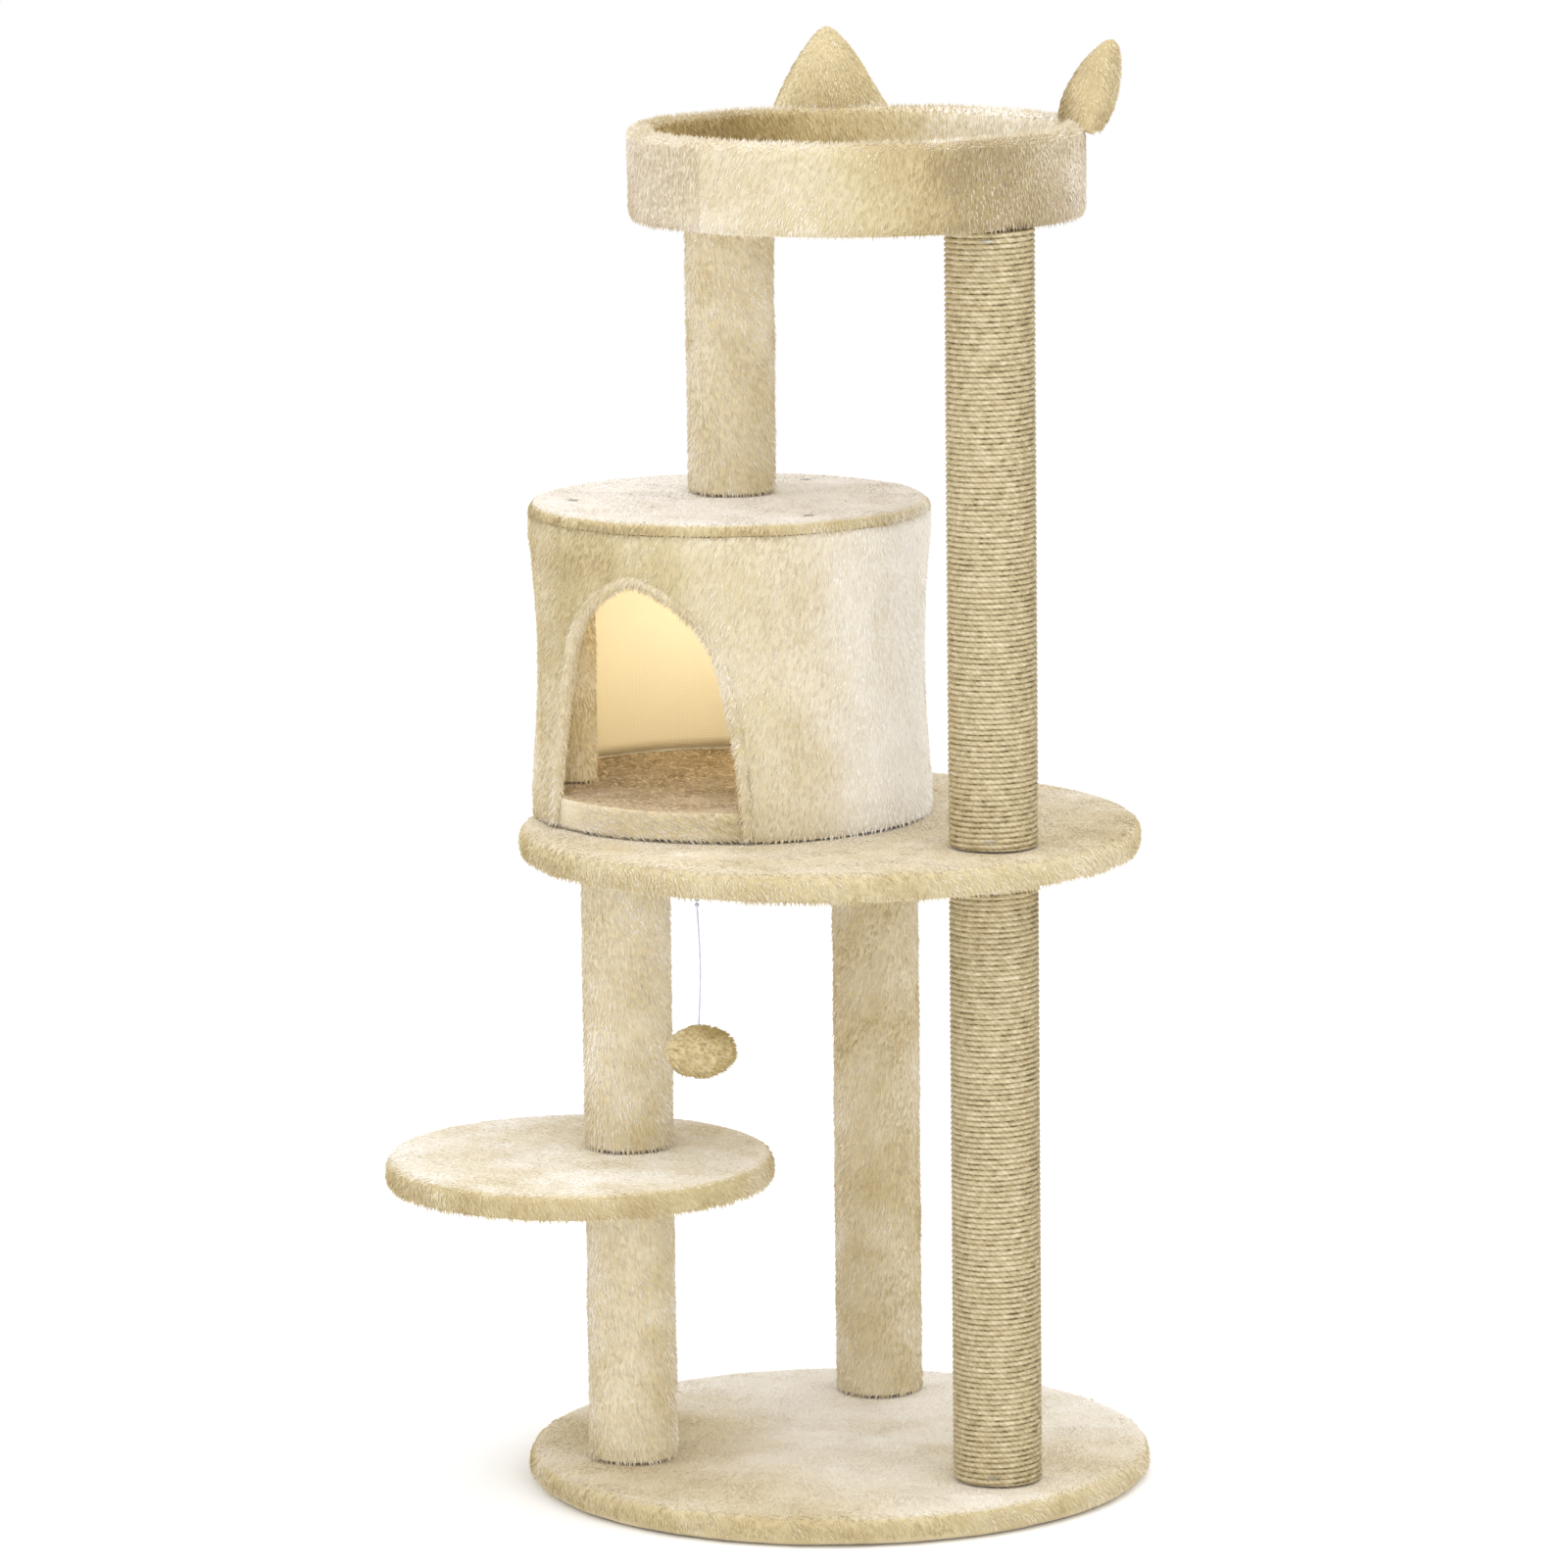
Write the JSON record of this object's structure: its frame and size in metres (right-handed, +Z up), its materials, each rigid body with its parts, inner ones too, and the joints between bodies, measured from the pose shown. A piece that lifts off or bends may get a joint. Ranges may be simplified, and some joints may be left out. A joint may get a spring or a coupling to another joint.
{
  "type": "cat tree",
  "caption": "Free-standing cat tree: round plush platforms on plush and rope-wound posts, an arched condo, a rimmed top bed with ears and a hanging ball toy.",
  "frame": {"origin": "middle of the round base's underside, on the floor", "axes": "+Z up; the condo's doorway faces -Y; +X is to the right when looking at the doorway"},
  "size_m": [0.5395, 0.552, 1.1256],
  "materials": {
    "beige_plush": "short napped polyester plush",
    "underside_felt": "needle felt",
    "woven_scrim": "woven backing cloth",
    "sisal_rope": "twisted natural fibre rope",
    "toy_cord": "white elastic cord",
    "rim_foam": "polyurethane foam",
    "mdf_board": "raw fibreboard",
    "paper_tube": "spiral wound paper tube",
    "pine_dowel": "turned pine",
    "plug_plastic": "moulded",
    "zinc_steel": "bright zinc plated"
  },
  "bodies": {
    "tree": {"back_post_plush_sleeve": "beige_plush", "back_post_tube": "paper_tube", "back_support_dowel": "pine_dowel", "back_support_plush_sleeve": "beige_plush", "base_board": "mdf_board", "base_plush_cover": "beige_plush", "base_underside_cloth": "underside_felt", "bed_board": "mdf_board", "bed_floor_plush": "beige_plush", "bed_post_plush_sleeve": "beige_plush", "bed_post_tube": "paper_tube", "bed_rim_foam": "rim_foam", "bed_rim_plush_cover": "beige_plush", "bed_underside_plush": "beige_plush", "bolt_washers": "zinc_steel", "condo_ceiling_cloth": "beige_plush", "condo_fixing_screws": "zinc_steel", "condo_floor_board": "mdf_board", "condo_floor_plush_cover": "beige_plush", "condo_floor_underside_cloth": "underside_felt", "condo_plush_wall": "beige_plush", "condo_roof_board": "mdf_board", "condo_roof_plush_cover": "beige_plush", "condo_scrim_lining": "woven_scrim", "doorway_hem": "beige_plush", "joining_studs": "zinc_steel", "left_ear": "beige_plush", "left_lower_post_plush_sleeve": "beige_plush", "left_lower_post_tube": "paper_tube", "left_support_dowel": "pine_dowel", "left_support_plush_sleeve": "beige_plush", "left_upper_post_plush_sleeve": "beige_plush", "left_upper_post_tube": "paper_tube", "lower_scratching_post_sisal_winding": "sisal_rope", "lower_scratching_post_tube": "paper_tube", "main_platform_board": "mdf_board", "main_platform_plush_cover": "beige_plush", "main_platform_underside_cloth": "underside_felt", "perch_board": "mdf_board", "perch_plush_cover": "beige_plush", "perch_underside_cloth": "underside_felt", "post_bolts": "zinc_steel", "post_end_plugs": "plug_plastic", "right_ear": "beige_plush", "right_support_dowel": "pine_dowel", "right_support_plush_sleeve": "beige_plush", "rope_end_staples": "zinc_steel", "support_screws": "zinc_steel", "threaded_inserts": "zinc_steel", "toy_staple": "zinc_steel", "upper_scratching_post_sisal_winding": "sisal_rope", "upper_scratching_post_tube": "paper_tube"},
    "toy_link": {"toy_loop": "toy_cord"},
    "toy": {"toy_knot": "toy_cord", "toy_string": "toy_cord", "toy_ball": "beige_plush"}
  },
  "joints": [
    {"name": "toy_swing_in_out", "type": "hinge", "parent": "tree", "child": "toy_link", "pos_m": [-0.009, -0.199, 0.4927], "axis": [1, 0, 0], "range_deg": [-35, 30]},
    {"name": "toy_swing_sideways", "type": "hinge", "parent": "toy_link", "child": "toy", "pos_m": [-0.009, -0.199, 0.48825], "axis": [0, 1, 0], "range_deg": [-35, 25]}
  ]
}
